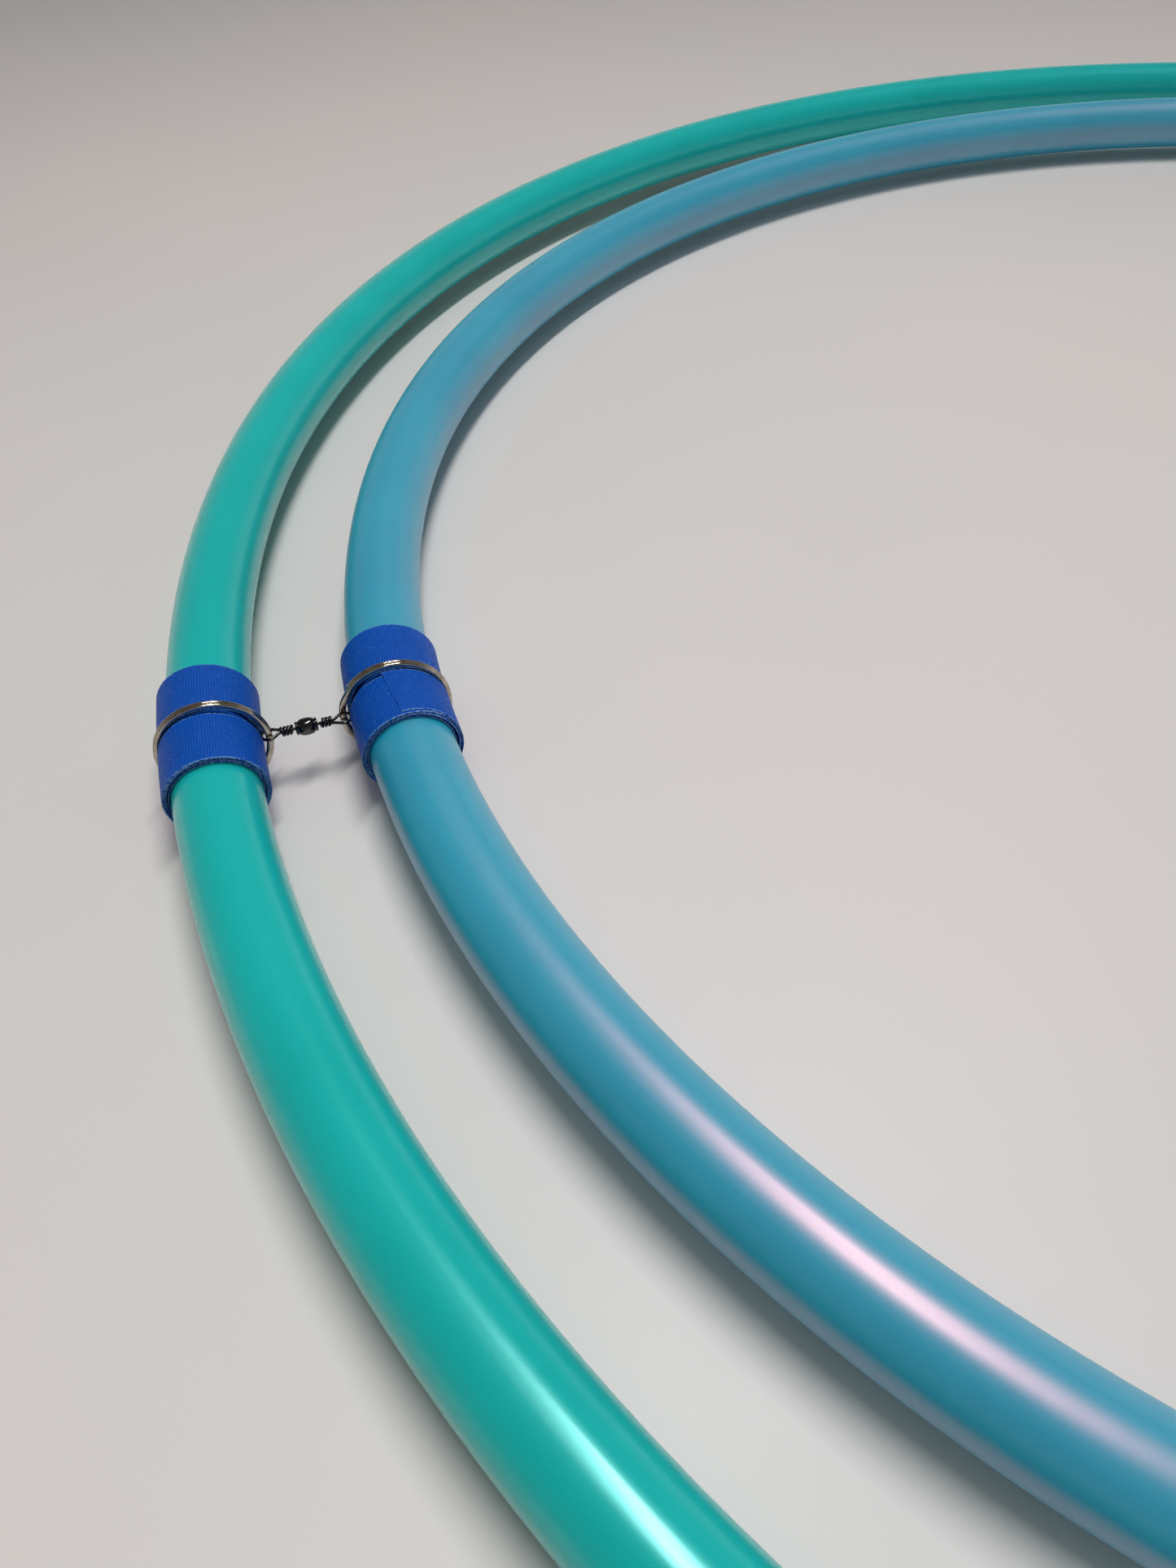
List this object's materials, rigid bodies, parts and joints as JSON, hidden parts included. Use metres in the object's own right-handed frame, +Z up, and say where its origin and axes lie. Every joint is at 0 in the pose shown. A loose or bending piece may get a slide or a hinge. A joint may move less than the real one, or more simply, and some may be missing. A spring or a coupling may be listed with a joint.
{
  "type": "double flow hoop",
  "caption": "Nested pair of plastic flow hoops; the smaller spins inside the larger on barrel swivels held by split rings in taped grooves.",
  "frame": {"origin": "on the resting surface, under the hoops' common centre", "axes": "+Z up, square to the hoops' plane; X along the diameter through both swivel links, the link of the picture at -X"},
  "size_m": [0.583, 0.5842, 0.0214],
  "materials": {
    "teal_plastic": "milky translucent polypropylene, soft gloss",
    "blue_plastic": "milky translucent polypropylene, soft gloss",
    "connector_plastic": "natural white",
    "blue_tape": "ribbed cloth-backed gaffer tape",
    "bright_nickel": "bright nickel plate",
    "black_nickel": "black nickel plate",
    "aluminium_rivet": "plain",
    "spring_steel": "plain"
  },
  "bodies": {
    "outer_hoop": {"outer_tube": "teal_plastic", "outer_connector": "connector_plastic", "outer_rivet": "aluminium_rivet", "outer_button_spring": "spring_steel", "left_outer_base_wrap": "blue_tape", "left_outer_stop_collar": "blue_tape", "left_outer_keeper_collar": "blue_tape", "right_outer_base_wrap": "blue_tape", "right_outer_stop_collar": "blue_tape", "right_outer_keeper_collar": "blue_tape", "left_outer_eye": "black_nickel", "right_outer_eye": "black_nickel"},
    "inner_hoop": {"inner_tube": "blue_plastic", "inner_connector": "connector_plastic", "inner_rivet": "aluminium_rivet", "inner_button_spring": "spring_steel", "left_inner_base_wrap": "blue_tape", "left_inner_stop_collar": "blue_tape", "left_inner_keeper_collar": "blue_tape", "right_inner_base_wrap": "blue_tape", "right_inner_stop_collar": "blue_tape", "right_inner_keeper_collar": "blue_tape", "left_inner_eye": "black_nickel", "right_inner_eye": "black_nickel"},
    "outer_button": {"outer_snap_button": "bright_nickel"},
    "inner_button": {"inner_snap_button": "bright_nickel"},
    "left_outer_ring": {"left_outer_split_ring": "bright_nickel"},
    "left_inner_ring": {"left_inner_split_ring": "bright_nickel"},
    "left_barrel": {"left_swivel_barrel": "black_nickel"},
    "right_outer_ring": {"right_outer_split_ring": "bright_nickel"},
    "right_inner_ring": {"right_inner_split_ring": "bright_nickel"},
    "right_barrel": {"right_swivel_barrel": "black_nickel"}
  },
  "joints": [
    {"name": "inner_hoop_spin", "type": "hinge", "parent": "outer_hoop", "child": "inner_hoop", "pos_m": [0, 0, 0.0107], "axis": [1, 0, 0], "continuous": true},
    {"name": "left_barrel_spin", "type": "hinge", "parent": "outer_hoop", "child": "left_barrel", "pos_m": [-0.26375, 0, 0.0107], "axis": [1, 0, 0], "continuous": true},
    {"name": "left_outer_ring_turn", "type": "hinge", "parent": "outer_hoop", "child": "left_outer_ring", "pos_m": [-0.2808, 0, 0.0107], "axis": [0, 1, 0], "continuous": true},
    {"name": "left_inner_ring_turn", "type": "hinge", "parent": "inner_hoop", "child": "left_inner_ring", "pos_m": [-0.2467, 0, 0.0107], "axis": [0, 1, 0], "continuous": true},
    {"name": "right_barrel_spin", "type": "hinge", "parent": "outer_hoop", "child": "right_barrel", "pos_m": [0.26375, 0, 0.0107], "axis": [1, 0, 0], "continuous": true},
    {"name": "right_outer_ring_turn", "type": "hinge", "parent": "outer_hoop", "child": "right_outer_ring", "pos_m": [0.2808, 0, 0.0107], "axis": [0, 1, 0], "continuous": true},
    {"name": "right_inner_ring_turn", "type": "hinge", "parent": "inner_hoop", "child": "right_inner_ring", "pos_m": [0.2467, 0, 0.0107], "axis": [0, 1, 0], "continuous": true},
    {"name": "outer_button_press", "type": "slide", "parent": "outer_hoop", "child": "outer_button", "axis": [0, 0, 1], "range_m": [-0.0026, 0], "stiffness_N_per_m": 500, "deforming": ["outer_button_spring"]},
    {"name": "inner_button_press", "type": "slide", "parent": "inner_hoop", "child": "inner_button", "axis": [0, 0, 1], "range_m": [-0.0026, 0], "stiffness_N_per_m": 500, "deforming": ["inner_button_spring"]}
  ]
}
